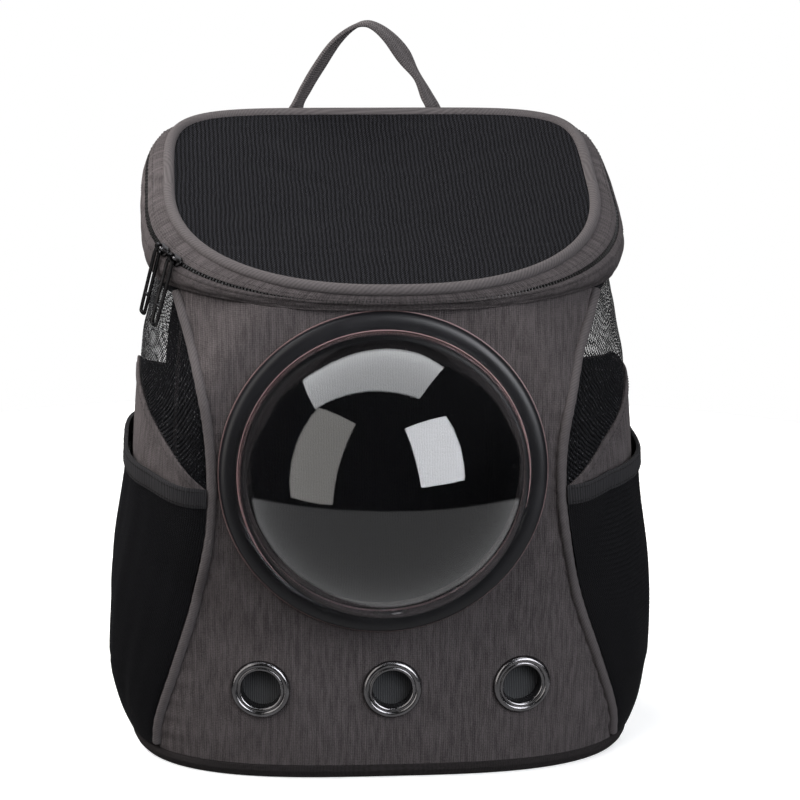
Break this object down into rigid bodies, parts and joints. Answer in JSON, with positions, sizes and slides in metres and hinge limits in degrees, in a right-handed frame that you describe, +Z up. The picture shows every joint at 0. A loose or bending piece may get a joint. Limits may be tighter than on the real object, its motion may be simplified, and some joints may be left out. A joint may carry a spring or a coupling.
{
  "type": "bubble pet carrier backpack",
  "caption": "Soft-sided pet carrier backpack with a clear dome in the front panel, vent eyelets, net side pockets and a sloping zipped net lid, standing on its flat base.",
  "frame": {"origin": "middle of the bounding box at floor height, under the base", "axes": "+Z up, the dome faces -Y, the shoulder straps are on +Y, +X is to the right as the dome is looked at"},
  "size_m": [0.3438, 0.315, 0.4368],
  "materials": {
    "canvas": "matte woven grey canvas, warm toned",
    "piping": "matte grey corded piping",
    "net": "fine black ribbed net",
    "binding": "matte black elastic binding",
    "zip_tape": "black zip tape with a nylon coil",
    "clear_plastic": "clear glossy plastic",
    "ring_plastic": "black satin plastic",
    "gunmetal": "polished dark metal",
    "webbing": "matte grey webbing",
    "buckle_plastic": "black moulded plastic"
  },
  "bodies": {
    "bag": {"front_panel": "canvas", "side_panel_left": "canvas", "side_panel_right": "canvas", "back_panel": "canvas", "base": "canvas", "collar": "canvas", "lid_band": "canvas", "lid_hinge": "canvas", "shoulder_strap_left": "canvas", "shoulder_strap_right": "canvas", "piping_left": "piping", "piping_right": "piping", "lid_rim": "piping", "side_net_left": "net", "side_net_right": "net", "pocket_left": "net", "pocket_right": "net", "lid_net": "net", "pocket_binding_left": "binding", "pocket_binding_right": "binding", "zip": "zip_tape", "dome": "clear_plastic", "dome_ring": "ring_plastic", "eyelet_left": "gunmetal", "eyelet_middle": "gunmetal", "eyelet_right": "gunmetal", "slider_1": "gunmetal", "slider_2": "gunmetal", "handle": "webbing", "strap_webbing_left": "webbing", "strap_webbing_right": "webbing", "strap_buckle_left": "buckle_plastic", "strap_buckle_right": "buckle_plastic"},
    "zip_pull_1": {"pull_1": "gunmetal"},
    "zip_pull_2": {"pull_2": "gunmetal"}
  },
  "joints": [
    {"name": "pull_1_swing", "type": "hinge", "parent": "bag", "child": "zip_pull_1", "pos_m": [-0.13675, -0.02867, 0.32089], "axis": [-0.4578, 0.8313, 0.3153], "range_deg": [0, 140]},
    {"name": "pull_2_swing", "type": "hinge", "parent": "bag", "child": "zip_pull_2", "pos_m": [-0.12935, -0.03967, 0.31685], "axis": [-0.5899, 0.7549, 0.2866], "range_deg": [0, 140]}
  ]
}
